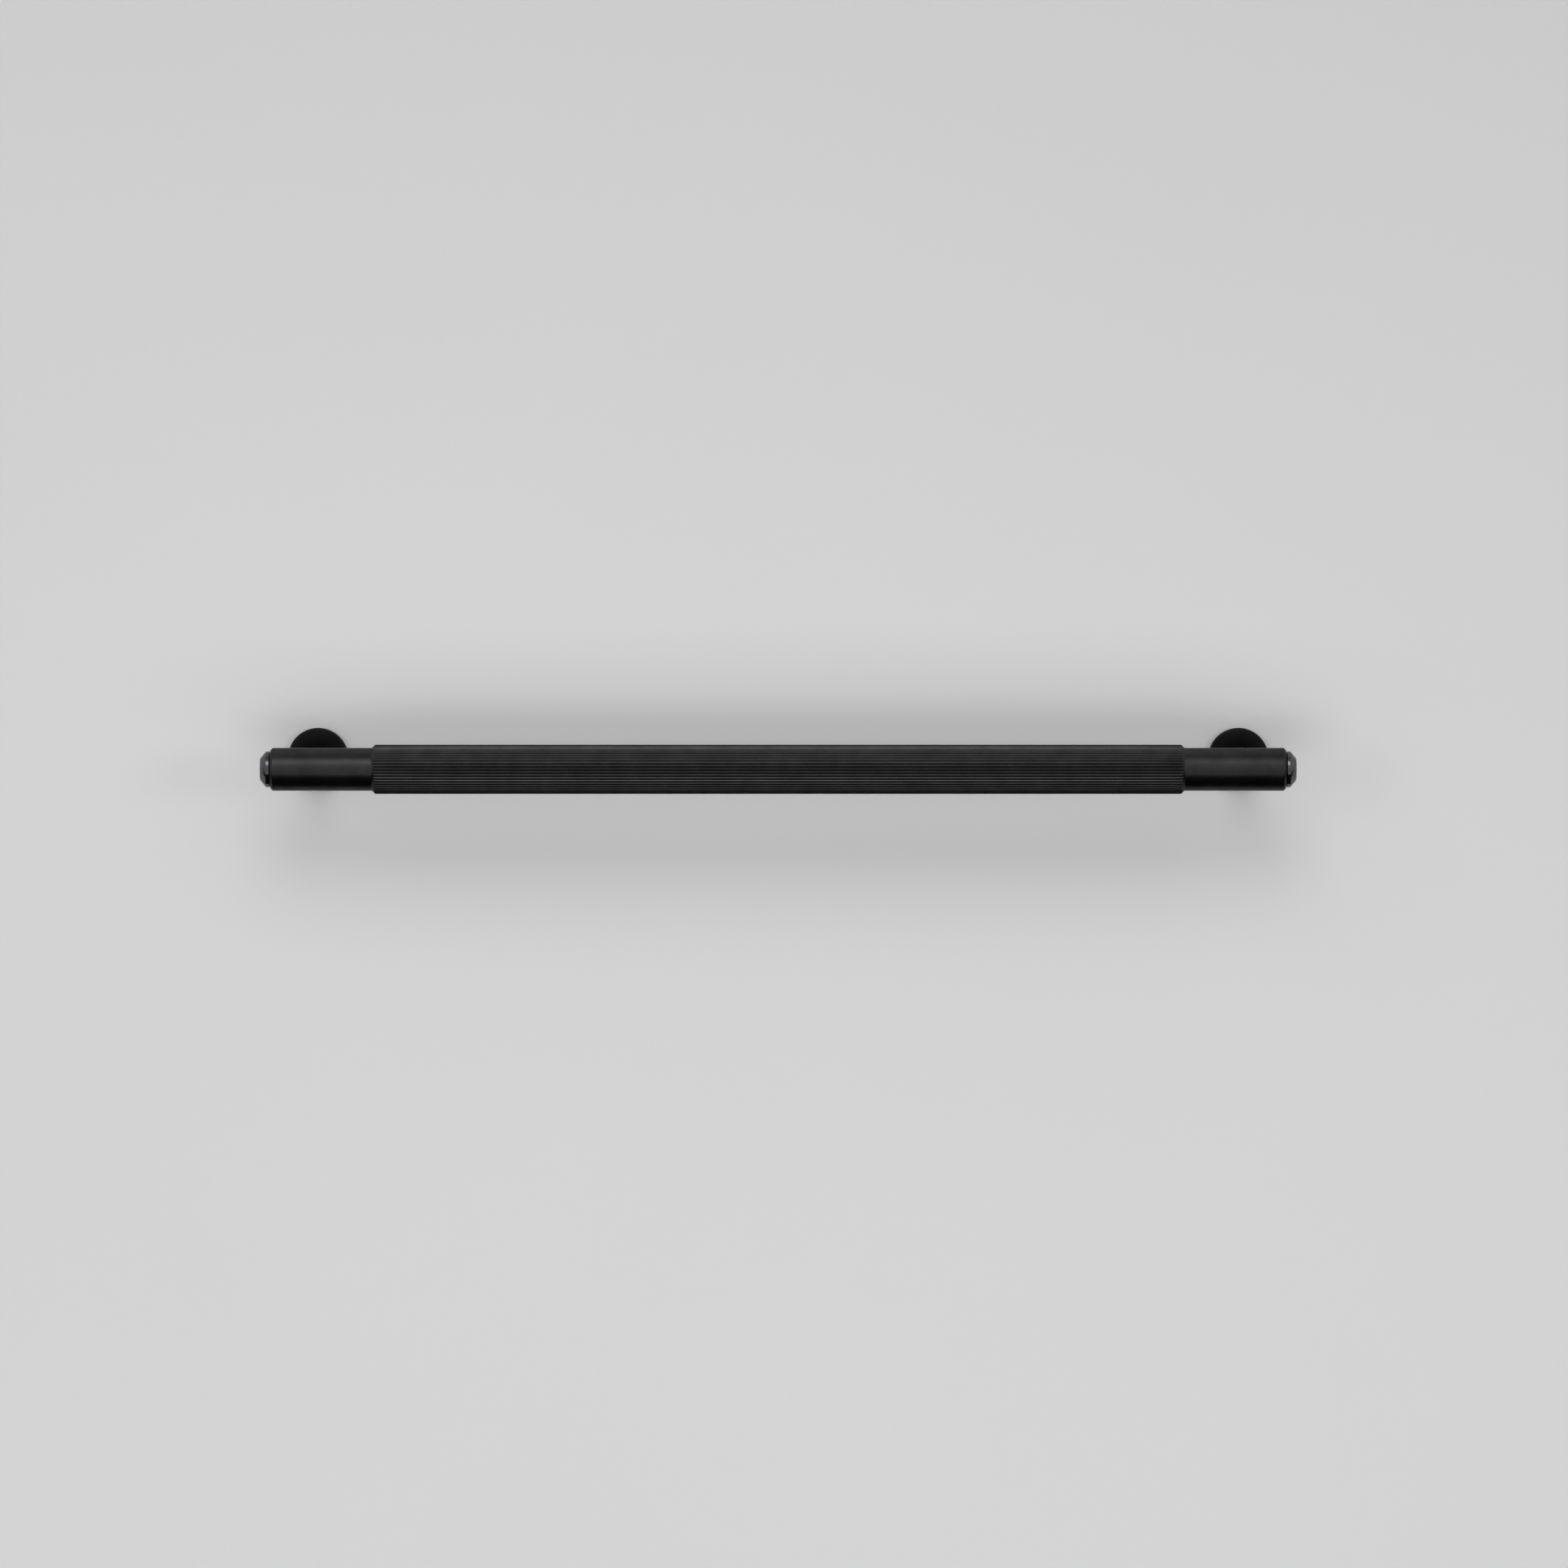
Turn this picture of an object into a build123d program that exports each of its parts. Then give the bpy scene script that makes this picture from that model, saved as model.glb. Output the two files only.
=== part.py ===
from build123d import *
import math
import os

# Door pull bar: a solid bar, fluted along its grip, held off the door by a post at each end.
# Each post stands on a round base disc and has a tapped hole for a screw that comes through the door.
# Millimetres. The door's face is the plane Y = 0, and the pull stands in front of it at negative Y.
# +X runs along the bar, +Y into the door and +Z up. The origin is midway between the two fixing holes.

# Layout
fixing_centres = 320.0
finger_gap = 25.0
grip_to_post = 20.0
post_to_bar_end = 15.0

# Bar: the fluted grip, and the smooth ends that are turned down from it
grip_diameter = 17.0
smooth_end_diameter = 14.8
smooth_end_chamfer = 0.8

# Flutes along the grip: square-angled grooves with a narrow flat root, and narrow flat crests between them
flute_count = 48
flute_flank_angle = 90.0
flute_root_width = 0.1
flute_crest_width = 0.28

# End caps: a chamfered button on a thin neck, with a spigot that screws into the bar
cap_land_diameter = 12.4
cap_land_length = 1.3
cap_face_diameter = 7.7
cap_chamfer_length = 2.0
cap_neck_diameter = 11.2
cap_neck_length = 0.2
cap_spigot_diameter = 6.0
cap_spigot_length = 7.0

# Posts: a plain pillar let into the back of the bar, with a spigot that goes through the base disc
post_diameter = 9.0
post_seat_depth = 1.8
post_foot_diameter = 7.0

# Base discs
disc_diameter = 21.0
disc_thickness = 3.0
disc_edge_chamfer = 0.4

# Studs: headless screws with a hexagon socket, half in the bar and half in the post
stud_diameter = 6.0
stud_length = 12.0
stud_length_in_bar = 6.5
stud_end_chamfer = 0.6
stud_socket_across_flats = 3.0
stud_socket_depth = 3.0

# Fixing holes in the feet, at the tapping size of a 4 mm screw
fixing_hole_diameter = 3.3
fixing_hole_depth = 12.0

# Fits and workshop habits
thread_clearance = 0.05
seat_clearance = 0.05
press_clearance = 0.02
drill_point_angle = 118.0
drill_run_out = 1.0
thread_lead_in = 0.4
edge_break = 0.2
flute_cutter_overshoot = 0.03

# Sizes that follow from those above
LEFT = -1
RIGHT = 1
SIDES = {"left": LEFT, "right": RIGHT}
grip_radius = grip_diameter / 2
smooth_end_radius = smooth_end_diameter / 2
grip_length = fixing_centres - 2 * grip_to_post
bar_length = fixing_centres + 2 * post_to_bar_end
bar_standoff = finger_gap + grip_radius
seat_floor = smooth_end_radius - post_seat_depth
disc_front = bar_standoff - disc_thickness
stud_hole_diameter = stud_diameter + 2 * thread_clearance
stud_start = seat_floor - stud_length_in_bar
stud_end = stud_start + stud_length


def at_bar_middle():
    """Place at the middle of the bar, with +Z along the bar."""
    return Pos(0, -bar_standoff, 0) * Rot(0, 90, 0)


def at_bar_end(side):
    """Place at the middle of one end face of the bar, with +Z outwards along the bar."""
    return Pos(side * bar_length / 2, -bar_standoff, 0) * Rot(0, side * 90, 0)


def at_foot(side):
    """Place on the bar's axis in front of one fixing hole, with +Z towards the door."""
    return Pos(side * fixing_centres / 2, -bar_standoff, 0) * Rot(-90, 0, 0)


def turned(*outline):
    """Solid of revolution about Z, from an outline of (radius, height) points."""
    corners = [(radius, 0, height) for radius, height in outline]
    section = make_face(Polyline(*corners, close=True))
    return revolve(section, Axis.Z)


def tapped_hole(diameter, depth):
    """Cutter for a drilled hole with a lead-in for the thread. Its mouth is at Z = 0 and it goes down."""
    radius = diameter / 2
    point_length = radius / math.tan(math.radians(drill_point_angle / 2))
    return turned(
        (0, 0),
        (radius + thread_lead_in, 0),
        (radius, -thread_lead_in),
        (radius, -depth),
        (0, -depth - point_length),
    )


def flute_cutters():
    """Straight cutters all round the grip, set so that a ridge faces straight out from the door."""
    flank_slope = math.tan(math.radians(flute_flank_angle / 2))
    mouth_half_angle = math.pi / flute_count - flute_crest_width / grip_diameter
    mouth_half_width = grip_radius * math.sin(mouth_half_angle)
    root_half_width = flute_root_width / 2
    flank_depth = (mouth_half_width - root_half_width) / flank_slope
    root_radius = grip_radius * math.cos(mouth_half_angle) - flank_depth
    outer_radius = grip_radius + flute_cutter_overshoot
    outer_half_width = root_half_width + (outer_radius - root_radius) * flank_slope
    flute = make_face(
        Polyline(
            (root_radius, -root_half_width),
            (outer_radius, -outer_half_width),
            (outer_radius, outer_half_width),
            (root_radius, root_half_width),
            close=True,
        )
    )
    half_a_pitch = 180.0 / flute_count
    places = PolarLocations(0, flute_count, start_angle=half_a_pitch)
    section = Sketch() + [place * flute for place in places]
    return extrude(section, amount=grip_length / 2, both=True)


def make_bar():
    """Bar turned from solid: flutes along the grip, and holes for the caps, the posts and the studs."""
    grip_chamfer = grip_radius - smooth_end_radius
    half_bar = bar_length / 2
    half_grip = grip_length / 2
    blank = turned(
        (0, -half_bar),
        (smooth_end_radius - smooth_end_chamfer, -half_bar),
        (smooth_end_radius, -half_bar + smooth_end_chamfer),
        (smooth_end_radius, -half_grip),
        (grip_radius, -half_grip + grip_chamfer),
        (grip_radius, half_grip - grip_chamfer),
        (smooth_end_radius, half_grip),
        (smooth_end_radius, half_bar - smooth_end_chamfer),
        (smooth_end_radius - smooth_end_chamfer, half_bar),
        (0, half_bar),
    )
    bar = at_bar_middle() * (blank - flute_cutters())
    cap_hole = tapped_hole(cap_spigot_diameter + 2 * thread_clearance, cap_spigot_length + drill_run_out)
    stud_hole = tapped_hole(stud_hole_diameter, stud_length_in_bar + drill_run_out)
    post_seat = Cylinder(
        post_diameter / 2 + seat_clearance,
        smooth_end_radius,
        align=(Align.CENTER, Align.CENTER, Align.MIN),
    )
    for side in SIDES.values():
        bar -= at_bar_end(side) * cap_hole
        bar -= at_foot(side) * Pos(0, 0, seat_floor) * post_seat
        bar -= at_foot(side) * Pos(0, 0, seat_floor) * stud_hole
    return bar


def make_end_cap():
    """Button for one end of the bar. Z = 0 is where its neck meets the bar, and +Z is outwards."""
    spigot_radius = cap_spigot_diameter / 2
    neck_radius = cap_neck_diameter / 2
    land_radius = cap_land_diameter / 2
    face_radius = cap_face_diameter / 2
    land_end = cap_neck_length + cap_land_length
    return turned(
        (0, -cap_spigot_length),
        (spigot_radius - thread_lead_in, -cap_spigot_length),
        (spigot_radius, -cap_spigot_length + thread_lead_in),
        (spigot_radius, 0),
        (neck_radius, 0),
        (neck_radius, cap_neck_length),
        (land_radius - edge_break, cap_neck_length),
        (land_radius, cap_neck_length + edge_break),
        (land_radius, land_end),
        (face_radius, land_end + cap_chamfer_length),
        (0, land_end + cap_chamfer_length),
    )


def make_post():
    """Pillar from its seat in the bar to the door. Z is measured from the bar's axis towards the door."""
    post_radius = post_diameter / 2
    foot_radius = post_foot_diameter / 2
    pillar = turned(
        (0, seat_floor),
        (post_radius - edge_break, seat_floor),
        (post_radius, seat_floor + edge_break),
        (post_radius, disc_front),
        (foot_radius, disc_front),
        (foot_radius, bar_standoff),
        (0, bar_standoff),
    )
    stud_hole = tapped_hole(stud_hole_diameter, stud_end - seat_floor + drill_run_out)
    fixing_hole = tapped_hole(fixing_hole_diameter, fixing_hole_depth)
    pillar -= Pos(0, 0, seat_floor) * Rot(180, 0, 0) * stud_hole
    pillar -= Pos(0, 0, bar_standoff) * fixing_hole
    return pillar


def make_base_disc():
    """Disc between the post's shoulder and the door, pressed on to the post's foot."""
    bore_radius = post_foot_diameter / 2 + press_clearance
    disc_radius = disc_diameter / 2
    return turned(
        (bore_radius, disc_front),
        (disc_radius - disc_edge_chamfer, disc_front),
        (disc_radius, disc_front + disc_edge_chamfer),
        (disc_radius, bar_standoff - edge_break),
        (disc_radius - edge_break, bar_standoff),
        (bore_radius, bar_standoff),
    )


def make_stud():
    """Headless screw that joins the bar to the post, with its hexagon socket towards the door."""
    stud_radius = stud_diameter / 2
    body = turned(
        (0, stud_start),
        (stud_radius - stud_end_chamfer, stud_start),
        (stud_radius, stud_start + stud_end_chamfer),
        (stud_radius, stud_end - stud_end_chamfer),
        (stud_radius - stud_end_chamfer, stud_end),
        (0, stud_end),
    )
    hexagon = RegularPolygon(stud_socket_across_flats / 2, 6, major_radius=False)
    return body - Pos(0, 0, stud_end) * extrude(hexagon, amount=-stud_socket_depth)


pieces = {"bar": make_bar()}
for name, side in SIDES.items():
    pieces[f"end_cap_{name}"] = at_bar_end(side) * make_end_cap()
    pieces[f"post_{name}"] = at_foot(side) * make_post()
    pieces[f"base_disc_{name}"] = at_foot(side) * make_base_disc()
    pieces[f"stud_{name}"] = at_foot(side) * make_stud()

os.makedirs("parts", exist_ok=True)
for name, piece in pieces.items():
    export_step(piece, f"parts/{name}.step")
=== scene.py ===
import math

import bmesh
import bpy
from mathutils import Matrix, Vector


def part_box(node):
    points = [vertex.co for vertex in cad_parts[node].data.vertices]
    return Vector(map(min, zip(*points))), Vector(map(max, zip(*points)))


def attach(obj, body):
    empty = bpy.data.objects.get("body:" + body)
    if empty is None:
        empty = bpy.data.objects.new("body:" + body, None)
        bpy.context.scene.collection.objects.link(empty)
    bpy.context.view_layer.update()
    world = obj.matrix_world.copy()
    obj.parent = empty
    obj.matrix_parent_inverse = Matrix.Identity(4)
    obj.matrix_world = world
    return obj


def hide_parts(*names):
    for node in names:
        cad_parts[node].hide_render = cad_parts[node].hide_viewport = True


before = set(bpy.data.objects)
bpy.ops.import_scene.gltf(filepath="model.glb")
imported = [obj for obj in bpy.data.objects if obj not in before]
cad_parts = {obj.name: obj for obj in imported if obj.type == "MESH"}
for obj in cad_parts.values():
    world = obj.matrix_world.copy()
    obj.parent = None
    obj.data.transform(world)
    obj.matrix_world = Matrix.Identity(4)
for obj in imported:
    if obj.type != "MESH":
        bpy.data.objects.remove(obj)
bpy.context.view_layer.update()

# Base discs: two plain turned steel rings that stand against the door and spread the pull of the bar.
# Each is parted off round bar with its front edge chamfered, pressed on to the foot of its post, and coated
# in a rougher black, painted darker as painted shade for the shade and dark reflections they get behind the
# bar.
MM = 0.001
SIDES = {"left": -1, "right": 1}
TOWARDS_DOOR = Vector((0, 1, 0))

disc_low, disc_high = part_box("base_disc_right")
bar_low, bar_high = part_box("bar")
post_place = (disc_low.x + disc_high.x) / 2
disc_radius = (disc_high.z - disc_low.z) / 2
disc_front_chamfer = 0.4 * MM
disc_back_chamfer = 0.2 * MM
disc_bore_radius = 3.52 * MM
bar_axis_y = (bar_low.y + bar_high.y) / 2
disc_front = disc_low.y - bar_axis_y
door_face = disc_high.y - bar_axis_y
turned_sides = 128
turned_edge_round = 0.06 * MM
weld_distance = 0.001 * MM
sharp_ring_angle = math.radians(20)
smooth_shading_angle = math.radians(30)


def turned(name, start, along, outline, sides, hollow=False):
    """A piece from the lathe, with its sharp rings rounded off as a coating rounds them.
    The outline has the radius of each ring and its distance from the start along the axis."""
    first_radius, first_distance = outline[0]
    bpy.ops.object.select_all(action="DESELECT")
    bpy.ops.mesh.primitive_circle_add(
        vertices=sides,
        radius=first_radius,
        fill_type="NOTHING" if hollow else "NGON",
        location=start + along * first_distance,
        rotation=Vector((0, 0, 1)).rotation_difference(along).to_euler(),
    )
    piece = bpy.context.object
    piece.name = name
    bpy.ops.object.transform_apply(location=True, rotation=True, scale=True)
    bpy.ops.object.mode_set(mode="EDIT")
    for (radius, distance), (next_radius, next_distance) in zip(outline, outline[1:]):
        growth = next_radius / radius
        bpy.ops.mesh.extrude_region_move(
            TRANSFORM_OT_translate={"value": along * (next_distance - distance)}
        )
        bpy.ops.transform.resize(
            value=[1 if part else growth for part in along],
            center_override=start + along * next_distance,
        )
    bpy.ops.mesh.select_all(action="SELECT")
    bpy.ops.mesh.remove_doubles(threshold=weld_distance)
    bpy.ops.mesh.normals_make_consistent(inside=False)
    bpy.ops.mesh.select_all(action="DESELECT")
    bpy.ops.mesh.select_mode(type="EDGE")
    bpy.ops.mesh.edges_select_sharp(sharpness=sharp_ring_angle)
    bpy.ops.mesh.bevel(offset=turned_edge_round, segments=2, affect="EDGES", clamp_overlap=True)
    bpy.ops.mesh.select_mode(type="VERT")
    bpy.ops.object.mode_set(mode="OBJECT")
    bpy.ops.object.shade_smooth_by_angle(angle=smooth_shading_angle)
    return piece


def linear(hex_colour):
    """An sRGB hex colour as linear red, green, blue and alpha."""
    channels = [int(hex_colour[place : place + 2], 16) / 255 for place in (1, 3, 5)]
    return [c / 12.92 if c < 0.04045 else ((c + 0.055) / 1.055) ** 2.4 for c in channels] + [1.0]


def add_node(tree, kind, settings, links):
    """One shader node: its settings are inputs or properties by name, and its links say what feeds an input,
    which goes by its name or its number."""
    node = tree.nodes.new("ShaderNode" + kind)
    for name, value in settings.items():
        if name in node.inputs:
            node.inputs[name].default_value = value
        else:
            setattr(node, name, value)
    for name, output in links.items():
        tree.links.new(output, node.inputs[name])
    return node


def empty_material(name):
    """A new material with an empty node tree."""
    material = bpy.data.materials.new(name)
    material.use_nodes = True
    material.node_tree.nodes.clear()
    return material


# Nearly all of a noise texture lies between these two levels.
noise_low = 0.3
noise_high = 0.7


def black_coating(name, darkest, lightest, smoothest, roughest):
    """Black stoved coating on steel: nearly black, with a soft highlight that is wider where the coat is
    rougher, a fine grain from the spray and faint clouds where the film is a little thicker."""
    # The grain of a sprayed coat is finer than this, too fine to show, so it is drawn coarser.
    grain_size = 0.3 * MM
    grain_height = 0.01 * MM
    grain_strength = 0.3
    cloud_size = 6 * MM
    edge_tint = "#c6c6c6"
    material = empty_material(name)
    tree = material.node_tree
    place = add_node(tree, "TexCoord", {}, {}).outputs["Object"]
    grain = add_node(tree, "TexNoise", {"Scale": 1 / grain_size, "Detail": 2.0}, {"Vector": place})
    clouds = add_node(tree, "TexNoise", {"Scale": 1 / cloud_size, "Detail": 3.0}, {"Vector": place})
    tone = add_node(tree, "ValToRGB", {}, {"Fac": clouds.outputs["Fac"]})
    tone.color_ramp.elements[0].position = noise_low
    tone.color_ramp.elements[0].color = linear(darkest)
    tone.color_ramp.elements[1].position = noise_high
    tone.color_ramp.elements[1].color = linear(lightest)
    gloss = add_node(
        tree,
        "MapRange",
        {"From Min": noise_low, "From Max": noise_high, "To Min": smoothest, "To Max": roughest},
        {"Value": grain.outputs["Fac"]},
    )
    relief = add_node(
        tree,
        "Bump",
        {"Strength": grain_strength, "Distance": grain_height},
        {"Height": grain.outputs["Fac"]},
    )
    coat = add_node(
        tree,
        "BsdfPrincipled",
        {"Metallic": 1.0, "Specular Tint": linear(edge_tint)},
        {
            "Base Color": tone.outputs["Color"],
            "Roughness": gloss.outputs["Result"],
            "Normal": relief.outputs["Normal"],
        },
    )
    add_node(tree, "OutputMaterial", {}, {"Surface": coat.outputs["BSDF"]})
    return material


# Painted shade: the discs' black is darker than the bar's to stand in for the shade and dark reflections
# behind the bar.
painted_shade_black = black_coating(
    "painted_shade_black_coating", darkest="#232324", lightest="#29292a", smoothest=0.42, roughest=0.50
)
for side_name, side in SIDES.items():
    rosette = turned(
        f"rosette_{side_name}",
        Vector((side * post_place, bar_axis_y, 0)),
        TOWARDS_DOOR,
        [
            (disc_bore_radius, disc_front),
            (disc_radius - disc_front_chamfer, disc_front),
            (disc_radius, disc_front + disc_front_chamfer),
            (disc_radius, door_face - disc_back_chamfer),
            (disc_radius - disc_back_chamfer, door_face),
            (disc_bore_radius, door_face),
            (disc_bore_radius, disc_front),
        ],
        turned_sides,
        hollow=True,
    )
    rosette.data.materials.append(painted_shade_black)
    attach(rosette, "root")
    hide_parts(f"base_disc_{side_name}")

# Posts: turned steel pillars between the discs and the bar, coated satin black like the bar.
# The bar end has a blind hole for the stud, and the foot has a thinner spigot that fills the disc's bore
# and a tapped blind hole for the screw that comes through the door.
post_low, post_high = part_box("post_right")
post_radius = (post_high.x - post_low.x) / 2
post_top = post_low.y - bar_axis_y
post_top_chamfer = 0.2 * MM
post_foot_radius = 3.5 * MM
stud_hole_radius = 3.05 * MM
stud_hole_depth = 6.5 * MM
screw_hole_radius = 1.65 * MM
screw_hole_depth = 12 * MM
thread_lead_in = 0.4 * MM

satin_black = black_coating(
    "satin_black_coating", darkest="#39393a", lightest="#434344", smoothest=0.28, roughest=0.35
)
for side_name, side in SIDES.items():
    pillar = turned(
        f"pillar_{side_name}",
        Vector((side * post_place, bar_axis_y, 0)),
        TOWARDS_DOOR,
        [
            (stud_hole_radius, post_top + stud_hole_depth),
            (stud_hole_radius, post_top + thread_lead_in),
            (stud_hole_radius + thread_lead_in, post_top),
            (post_radius - post_top_chamfer, post_top),
            (post_radius, post_top + post_top_chamfer),
            (post_radius, disc_front),
            (post_foot_radius, disc_front),
            (post_foot_radius, door_face),
            (screw_hole_radius + thread_lead_in, door_face),
            (screw_hole_radius, door_face - thread_lead_in),
            (screw_hole_radius, door_face - screw_hole_depth),
        ],
        turned_sides,
    )
    pillar.data.materials.append(satin_black)
    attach(pillar, "root")
    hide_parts(f"post_{side_name}")

# Studs: bright headless steel screws, half in the post and half in the bar, which pull the two together.
# They stay as the solids that carry the joint, and nothing of them shows once the pull is assembled.


def screw_steel():
    """Plain bright screw steel: grey metal with the fine lengthwise scratches of drawn wire."""
    scratch_width = 0.2 * MM
    scratch_length = 4 * MM
    smoothest = 0.28
    roughest = 0.45
    material = empty_material("drawn_screw_steel")
    tree = material.node_tree
    place = add_node(tree, "TexCoord", {}, {}).outputs["Object"]
    stretched = add_node(
        tree,
        "Mapping",
        {"Scale": (1 / scratch_width, 1 / scratch_length, 1 / scratch_width)},
        {"Vector": place},
    )
    scratches = add_node(
        tree, "TexNoise", {"Scale": 1.0, "Detail": 3.0}, {"Vector": stretched.outputs["Vector"]}
    )
    tone = add_node(tree, "ValToRGB", {}, {"Fac": scratches.outputs["Fac"]})
    tone.color_ramp.elements[0].color = linear("#8c8d90")
    tone.color_ramp.elements[1].color = linear("#b4b5b8")
    gloss = add_node(
        tree, "MapRange", {"To Min": smoothest, "To Max": roughest}, {"Value": scratches.outputs["Fac"]}
    )
    steel = add_node(
        tree,
        "BsdfPrincipled",
        {"Metallic": 1.0},
        {"Base Color": tone.outputs["Color"], "Roughness": gloss.outputs["Result"]},
    )
    add_node(tree, "OutputMaterial", {}, {"Surface": steel.outputs["BSDF"]})
    return material


bright_steel = screw_steel()
for side_name in SIDES:
    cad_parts[f"stud_{side_name}"].data.materials[0] = bright_steel

# Bar: one steel bar, turned down at both ends and milled with straight flutes along the grip between them.
# The grip's ends are chamfered right down to the smooth ends, so the ridges run out in points there.
# It is drilled for the cap at each end and for the post at each side of the grip, and coated satin black.
ALONG_BAR = Vector((1, 0, 0))

grip_radius = (bar_high.z - bar_low.z) / 2
half_bar = (bar_high.x - bar_low.x) / 2
grip_to_post = 20 * MM
half_grip = post_place - grip_to_post
smooth_end_radius = 7.4 * MM
smooth_end_chamfer = 0.8 * MM
cap_hole_radius = 3.05 * MM
cap_hole_depth = 8 * MM
seat_clearance = 0.05 * MM
drill_run_out = 1 * MM
grip_spans = 14
flute_count = 48
flute_crest_width = 0.28 * MM
flute_root_width = 0.1 * MM
flute_flank_slope = math.tan(math.radians(45))
crest_softness = 0.04 * MM
lanes_per_flute = 20
bar_sides = flute_count * lanes_per_flute
lane_width = math.tau * grip_radius / bar_sides
flute_mouth = lanes_per_flute * lane_width - flute_crest_width
flute_depth = (flute_mouth - flute_root_width) / (2 * flute_flank_slope)
below_flute_roots = 0.1 * MM
behind_shoulder = 0.2 * MM

bar_middle = Vector((0, bar_axis_y, 0))
grip_shoulder = half_grip - (grip_radius - smooth_end_radius)
left_end = [
    (cap_hole_radius, cap_hole_depth - half_bar),
    (cap_hole_radius, thread_lead_in - half_bar),
    (cap_hole_radius + thread_lead_in, -half_bar),
    (smooth_end_radius - smooth_end_chamfer, -half_bar),
    (smooth_end_radius, smooth_end_chamfer - half_bar),
    (smooth_end_radius, -half_grip),
]
right_end = [(radius, -distance) for radius, distance in reversed(left_end)]
grip = [(grip_radius, grip_shoulder * (2 * span / grip_spans - 1)) for span in range(grip_spans + 1)]
fluted_bar = turned("fluted_bar", bar_middle, ALONG_BAR, left_end + grip + right_end, bar_sides)


def choose(piece, test):
    """In edit mode, selects the vertices whose place passes the test, and no others."""
    shape = bmesh.from_edit_mesh(piece.data)
    for vertex in shape.verts:
        vertex.select = test(vertex.co)
    shape.select_flush_mode()
    bmesh.update_edit_mesh(piece.data)


def lane_of(place):
    """The place's lane within a flute's pitch: 0 is the middle of a ridge, and one faces straight out."""
    turn = math.atan2(place.z, bar_axis_y - place.y) / math.tau
    return round(turn * bar_sides) % lanes_per_flute


def on_grip(place):
    """True on the grip's outer skin, before and after its flutes are cut."""
    from_axis = math.hypot(place.y - bar_axis_y, place.z)
    return from_axis > grip_radius - flute_depth - below_flute_roots


# Each lane goes in by the flute's depth there, and at the grip's ends it slides along the chamfer's cone.
bpy.ops.object.mode_set(mode="EDIT")
for lane in range(lanes_per_flute):
    from_flute_middle = abs(lane - lanes_per_flute / 2) * lane_width
    straight_flank = (flute_mouth / 2 - from_flute_middle) / flute_flank_slope
    softened = (straight_flank + math.hypot(straight_flank, crest_softness)) / 2
    depth = min(softened, flute_depth)
    shrink = (grip_radius - depth) / grip_radius
    choose(fluted_bar, lambda place: on_grip(place) and lane_of(place) == lane)
    bpy.ops.transform.resize(value=(1, shrink, shrink), center_override=bar_middle)
    for side in SIDES.values():
        choose(
            fluted_bar,
            lambda place: on_grip(place)
            and lane_of(place) == lane
            and place.x * side > grip_shoulder - behind_shoulder,
        )
        bpy.ops.transform.translate(value=(side * depth, 0, 0))
bpy.ops.object.mode_set(mode="OBJECT")

for side in SIDES.values():
    seat_drill = turned(
        "seat_drill",
        Vector((side * post_place, bar_axis_y, 0)),
        TOWARDS_DOOR,
        [
            (stud_hole_radius, post_top - stud_hole_depth - drill_run_out),
            (stud_hole_radius, post_top - thread_lead_in),
            (stud_hole_radius + thread_lead_in, post_top),
            (post_radius + seat_clearance, post_top),
            (post_radius + seat_clearance, grip_radius + drill_run_out),
        ],
        turned_sides,
    )
    bpy.context.view_layer.objects.active = fluted_bar
    drilling = fluted_bar.modifiers.new("drilling", "BOOLEAN")
    drilling.object = seat_drill
    drilling.operation = "DIFFERENCE"
    drilling.solver = "EXACT"
    bpy.ops.object.modifier_apply(modifier=drilling.name)
    bpy.data.objects.remove(seat_drill)

bpy.ops.object.select_all(action="DESELECT")
fluted_bar.select_set(True)
bpy.ops.object.shade_smooth_by_angle(angle=smooth_shading_angle)
fluted_bar.data.materials.clear()
fluted_bar.data.materials.append(satin_black)
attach(fluted_bar, "root")
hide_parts("bar")

# End caps: small turned steel buttons with a broad chamfer, polished before they are coated black.
# A thin neck keeps the button a hair off the bar, which draws a dark line there, and a threaded spigot
# behind it screws into the bar's end.
cap_low, cap_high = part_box("end_cap_right")
cap_tip = cap_high.x - half_bar
cap_spigot_end = cap_low.x - half_bar
cap_land_radius = (cap_high.z - cap_low.z) / 2
cap_face_radius = 3.85 * MM
cap_chamfer_length = 2 * MM
cap_neck_radius = 5.6 * MM
cap_neck_length = 0.2 * MM
cap_back_chamfer = 0.2 * MM
cap_spigot_radius = 3 * MM


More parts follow.
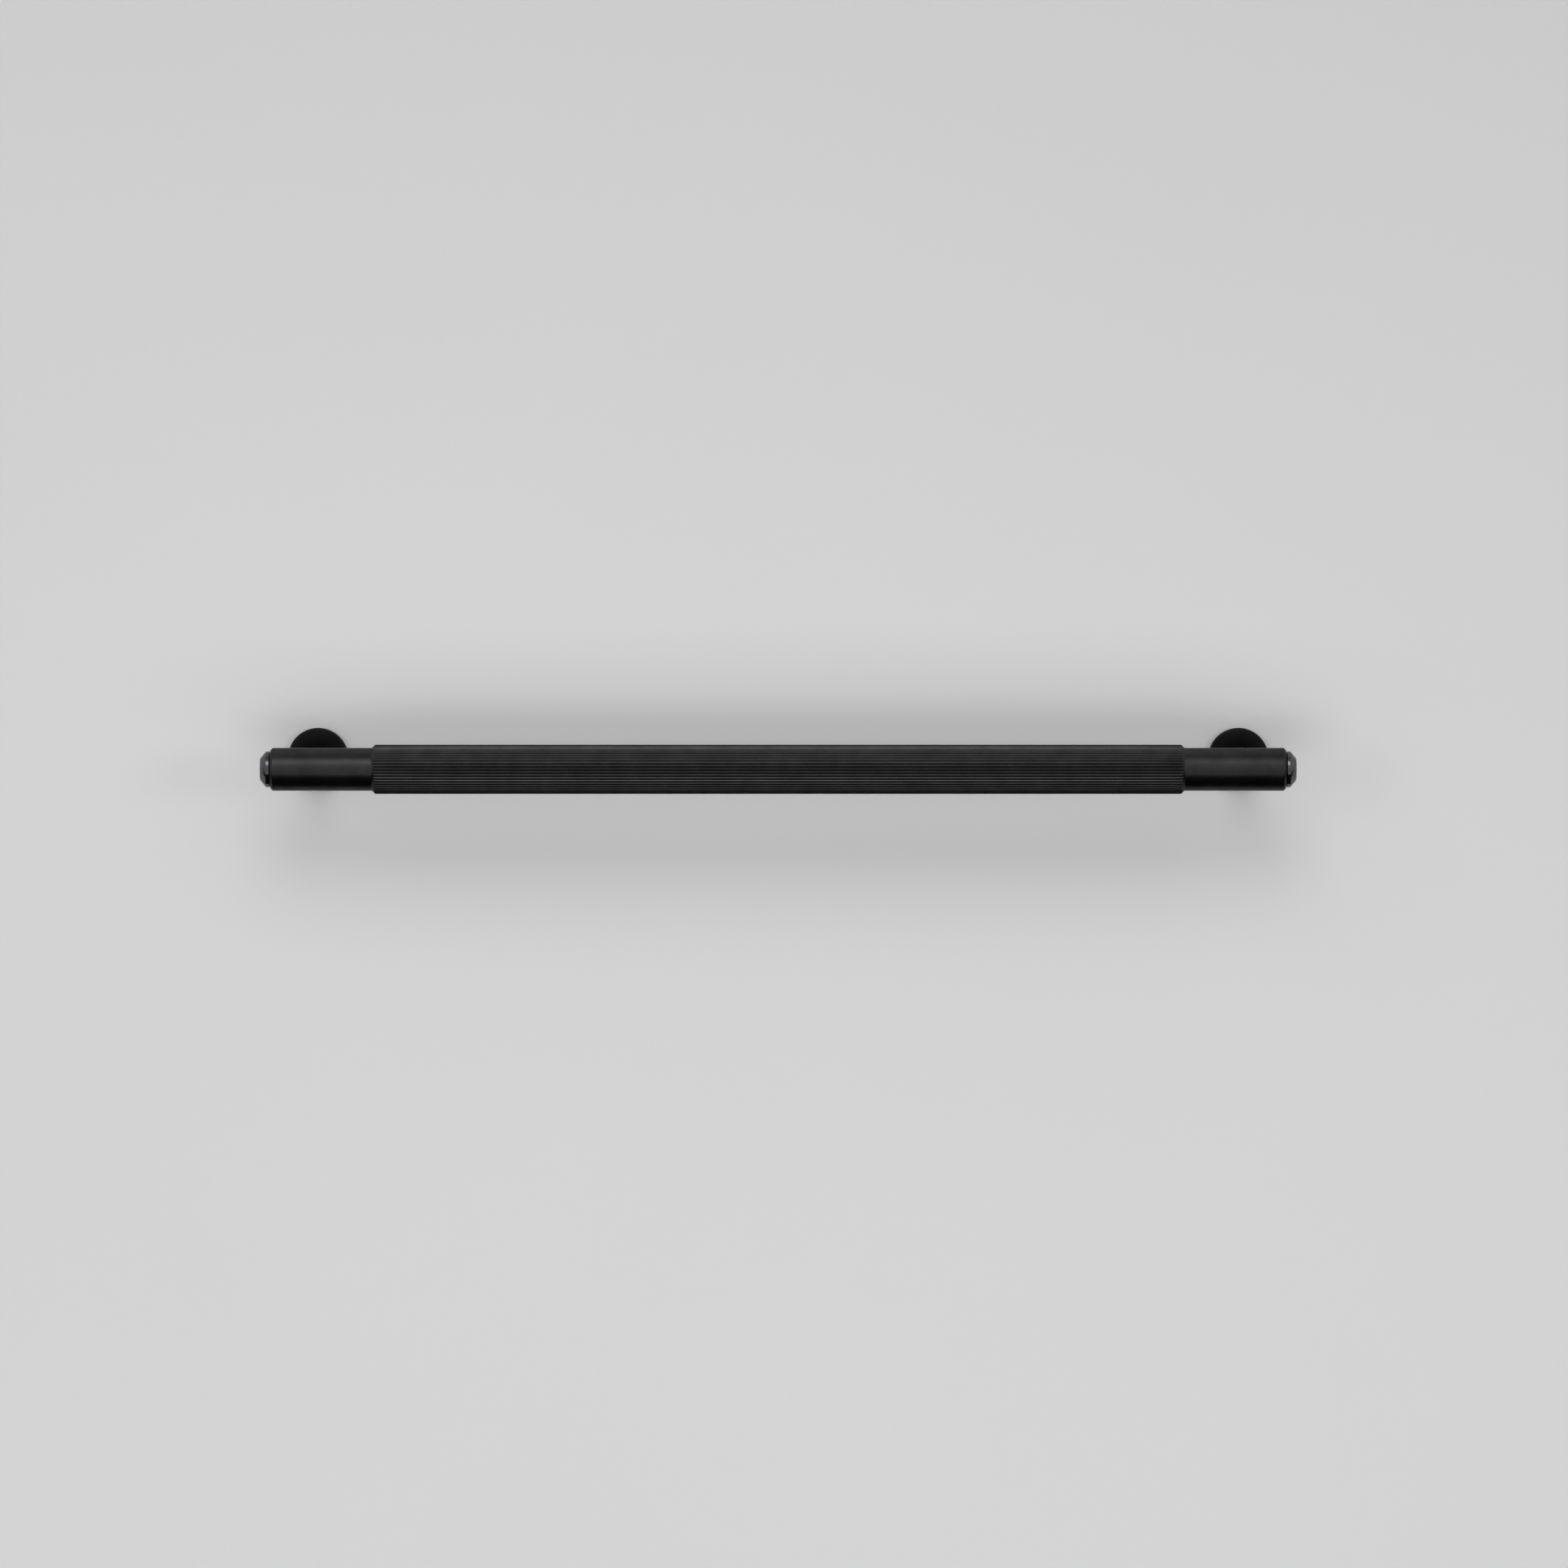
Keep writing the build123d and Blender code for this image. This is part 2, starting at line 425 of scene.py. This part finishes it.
def polished_black_coating():
    """Black coating over polished steel: a paler black with a tighter highlight, and the faint rings that
    the turning tool left under it."""
    # The tool's marks are finer than this, too fine to show, so they are drawn coarser.
    ring_spacing = 0.25 * MM
    ring_height = 0.005 * MM
    ring_strength = 0.1
    film_size = 3 * MM
    smoothest = 0.12
    roughest = 0.17
    edge_tint = "#e0e0e0"
    # At a scale of 1 the wave texture repeats ten times in a distance of pi.
    wave_scale = math.pi / (10 * ring_spacing)
    material = empty_material("polished_black_coating")
    tree = material.node_tree
    place = add_node(tree, "TexCoord", {}, {}).outputs["Object"]
    centred = add_node(tree, "Mapping", {"Location": -bar_middle}, {"Vector": place}).outputs["Vector"]
    rings = add_node(
        tree,
        "TexWave",
        {
            "wave_type": "RINGS",
            "rings_direction": "X",
            "Scale": wave_scale,
            "Distortion": 0.6,
            "Detail": 2.0,
        },
        {"Vector": centred},
    )
    film = add_node(tree, "TexNoise", {"Scale": 1 / film_size, "Detail": 3.0}, {"Vector": place})
    tone = add_node(tree, "ValToRGB", {}, {"Fac": film.outputs["Fac"]})
    tone.color_ramp.elements[0].position = noise_low
    tone.color_ramp.elements[0].color = linear("#5a5a5c")
    tone.color_ramp.elements[1].position = noise_high
    tone.color_ramp.elements[1].color = linear("#646466")
    gloss = add_node(
        tree,
        "MapRange",
        {"From Min": noise_low, "From Max": noise_high, "To Min": smoothest, "To Max": roughest},
        {"Value": film.outputs["Fac"]},
    )
    relief = add_node(
        tree,
        "Bump",
        {"Strength": ring_strength, "Distance": ring_height},
        {"Height": rings.outputs["Fac"]},
    )
    coat = add_node(
        tree,
        "BsdfPrincipled",
        {"Metallic": 1.0, "Specular Tint": linear(edge_tint)},
        {
            "Base Color": tone.outputs["Color"],
            "Roughness": gloss.outputs["Result"],
            "Normal": relief.outputs["Normal"],
        },
    )
    add_node(tree, "OutputMaterial", {}, {"Surface": coat.outputs["BSDF"]})
    return material


polished_black = polished_black_coating()
for side_name, side in SIDES.items():
    button = turned(
        f"button_{side_name}",
        Vector((side * half_bar, bar_axis_y, 0)),
        side * ALONG_BAR,
        [
            (cap_spigot_radius - thread_lead_in, cap_spigot_end),
            (cap_spigot_radius, cap_spigot_end + thread_lead_in),
            (cap_spigot_radius, 0),
            (cap_neck_radius, 0),
            (cap_neck_radius, cap_neck_length),
            (cap_land_radius - cap_back_chamfer, cap_neck_length),
            (cap_land_radius, cap_neck_length + cap_back_chamfer),
            (cap_land_radius, cap_tip - cap_chamfer_length),
            (cap_face_radius, cap_tip),
        ],
        turned_sides,
    )
    button.data.materials.append(polished_black)
    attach(button, "root")
    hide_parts(f"end_cap_{side_name}")

# Stage: a pale painted board at the door's face, and a pale floor far below. The board's paint is paler at
# its foot:
# painted light, which makes the board look more strongly lit at its foot than at its head.
# Seen from behind, the board lets the view through, so that the back of the pull shows. A dark cloth on a
# frame, a flag, hangs under the pull and shows only in reflections, as the dark band in the bar's underside.
scene = bpy.context.scene
scene.view_settings.view_transform = "Standard"

board_size = 0.84
board_proud = 0.2 * MM
floor_size = 12.0
floor_level = -1.0
floor_clear_of_board = 1.0
flag_length = 1.2
flag_reach = 0.29
flag_gap = 5 * MM
flag_drop = 0.12


def matt_finish(name, foot_colour, head_colour, length, open_behind=False):
    """Matt paint or cloth, a little uneven in tone, that may change from one colour at its foot to another
    at its head.
    Where the two differ, as on the board, that change is painted light.
    It may let the view through from behind."""
    patch_size = 120 * MM
    darkest_patch = 0.985
    material = empty_material(name)
    tree = material.node_tree
    place = add_node(tree, "TexCoord", {}, {}).outputs["Object"]
    patches = add_node(tree, "TexNoise", {"Scale": 1 / patch_size, "Detail": 2.0}, {"Vector": place})
    tone = add_node(
        tree, "MapRange", {"To Min": darkest_patch, "To Max": 1.0}, {"Value": patches.outputs["Fac"]}
    )
    split = add_node(tree, "SeparateXYZ", {}, {"Vector": place})
    along = add_node(
        tree, "MapRange", {"From Min": -length / 2, "From Max": length / 2}, {"Value": split.outputs["Y"]}
    )
    # Painted light where foot and head colours differ: a ramp along the length that stands in for light
    # stronger at one end.
    painted_light_ramp = add_node(tree, "ValToRGB", {}, {"Fac": along.outputs["Result"]})
    painted_light_ramp.color_ramp.elements[0].color = linear(foot_colour)
    painted_light_ramp.color_ramp.elements[1].color = linear(head_colour)
    shade = add_node(
        tree,
        "VectorMath",
        {"operation": "SCALE"},
        {"Vector": painted_light_ramp.outputs["Color"], "Scale": tone.outputs["Result"]},
    )
    paint = add_node(tree, "BsdfDiffuse", {}, {"Color": shade.outputs["Vector"]})
    surface = paint.outputs["BSDF"]
    if open_behind:
        behind = add_node(tree, "NewGeometry", {}, {}).outputs["Backfacing"]
        clear = add_node(tree, "BsdfTransparent", {}, {})
        one_sided = add_node(tree, "MixShader", {}, {"Fac": behind, 1: surface, 2: clear.outputs["BSDF"]})
        surface = one_sided.outputs["Shader"]
    add_node(tree, "OutputMaterial", {}, {"Surface": surface})
    return material


bpy.ops.object.select_all(action="DESELECT")
bpy.ops.mesh.primitive_plane_add(
    size=board_size, location=(0, -board_proud, 0), rotation=(math.radians(90), 0, 0)
)
board = bpy.context.object
board.name = "painted_board"
# The board is painted paler at its foot than at its head: painted light, for more light low on the board.
board.data.materials.append(matt_finish("board_paint_with_painted_light", "#eaeaea", "#cccccc", board_size, open_behind=True))
bpy.ops.mesh.primitive_plane_add(
    size=floor_size, location=(0, -floor_clear_of_board - floor_size / 2, floor_level)
)
floor = bpy.context.object
floor.name = "pale_floor"
floor.data.materials.append(matt_finish("floor_paint", "#f4f4f4", "#f4f4f4", floor_size))
bpy.ops.mesh.primitive_plane_add(size=flag_reach, location=(0, -flag_gap - flag_reach / 2, -flag_drop))
flag = bpy.context.object
flag.name = "dark_flag"
flag.scale.x = flag_length / flag_reach
bpy.ops.object.transform_apply(location=False, rotation=False, scale=True)
flag.data.materials.append(matt_finish("flag_cloth", "#303030", "#303030", flag_reach))
flag.visible_camera = False
flag.visible_diffuse = False
flag.visible_shadow = False

# Light: soft boxes in front of the pull, the main one above it and weaker ones below and to both sides, in a
# room that is dark below and palest above the level. The fills light the board without showing in the
# pull's finish, and the camera sees the room itself as a plain pale grey.


def soft_box(name, height_angle, side_angle, distance, width, height, power, in_reflections=True):
    """A soft box that faces the pull from its angle above the level and to the right of straight ahead.
    A fill is one that stays out of reflections."""
    up = math.radians(height_angle)
    across = math.radians(side_angle)
    outwards = Vector((math.sin(across) * math.cos(up), -math.cos(across) * math.cos(up), math.sin(up)))
    bpy.ops.object.light_add(
        type="AREA",
        location=bar_middle + outwards * distance,
        rotation=outwards.to_track_quat("Z", "Y").to_euler(),
    )
    lamp = bpy.context.object
    lamp.name = name
    lamp.data.shape = "RECTANGLE"
    lamp.data.size = width
    lamp.data.size_y = height
    lamp.data.energy = power
    lamp.visible_glossy = in_reflections


upper_box = {"height_angle": 46.5, "side_angle": -3.5, "distance": 2.8, "width": 1.40, "height": 1.16}
lower_box = {"height_angle": -14.5, "side_angle": -4.5, "distance": 1.0, "width": 0.64, "height": 0.264}
right_box = {"height_angle": 7, "side_angle": 45, "distance": 2.5, "width": 0.70, "height": 0.45}
left_box = {"height_angle": 7, "side_angle": -42, "distance": 2.0, "width": 0.50, "height": 0.90}
soft_box("upper_soft_box", **upper_box, power=11.0)
soft_box("upper_fill", **upper_box, power=7.0, in_reflections=False)
soft_box("lower_soft_box", **lower_box, power=0.06)
soft_box("lower_fill", **lower_box, power=2.2, in_reflections=False)
soft_box("right_soft_box", **right_box, power=5.0)
soft_box("left_soft_box", **left_box, power=4.0)

# How bright the room is at each height, from 0 straight down, through 0.5 at the level, to 1 straight up.
room_brightness = [
    (0.0, 0.01),
    (0.28, 0.015),
    (0.38, 0.10),
    (0.46, 0.36),
    (0.56, 0.48),
    (0.62, 0.58),
    (0.74, 0.72),
    (0.86, 0.72),
    (0.93, 0.60),
    (0.97, 0.40),
    (1.0, 0.28),
]
room = bpy.data.worlds.new("pale_room")
room.use_nodes = True
room_tree = room.node_tree
room_tree.nodes.clear()
direction = add_node(room_tree, "TexCoord", {}, {}).outputs["Generated"]
split = add_node(room_tree, "SeparateXYZ", {}, {"Vector": direction})
room_height = add_node(
    room_tree, "MapRange", {"From Min": -1.0, "From Max": 1.0}, {"Value": split.outputs["Z"]}
)
walls = add_node(room_tree, "ValToRGB", {}, {"Fac": room_height.outputs["Result"]})
for stop, (position, level) in enumerate(room_brightness):
    if stop > 1:
        walls.color_ramp.elements.new(position)
    walls.color_ramp.elements[stop].position = position
    walls.color_ramp.elements[stop].color = (level, level, level, 1.0)
glow = add_node(room_tree, "Background", {}, {"Color": walls.outputs["Color"]})
backdrop = add_node(room_tree, "Background", {"Color": linear("#d8d8d8")}, {})
seen_directly = add_node(room_tree, "LightPath", {}, {}).outputs["Is Camera Ray"]
surround = add_node(
    room_tree,
    "MixShader",
    {},
    {"Fac": seen_directly, 1: glow.outputs["Background"], 2: backdrop.outputs["Background"]},
)
add_node(room_tree, "OutputWorld", {}, {"Surface": surround.outputs["Shader"]})
scene.world = room

# Camera: straight in front of the pull and a little above it, far back, as the photograph was taken.
# The frame's middle lies a little to the right of the bar's and below it.
camera_elevation = math.radians(7)
camera_distance = 3.5
frame_width = 540.5 * MM
frame_right_of_bar = 2.0 * MM
frame_below_bar = 5.1 * MM

frame_middle = bar_middle + Vector((frame_right_of_bar, 0, -frame_below_bar))
camera_place = frame_middle + camera_distance * Vector(
    (0, -math.cos(camera_elevation), math.sin(camera_elevation))
)
bpy.ops.object.camera_add(location=camera_place, rotation=(math.pi / 2 - camera_elevation, 0, 0))
camera = bpy.context.object
camera.data.lens = camera.data.sensor_width * camera_distance / frame_width
scene.camera = camera
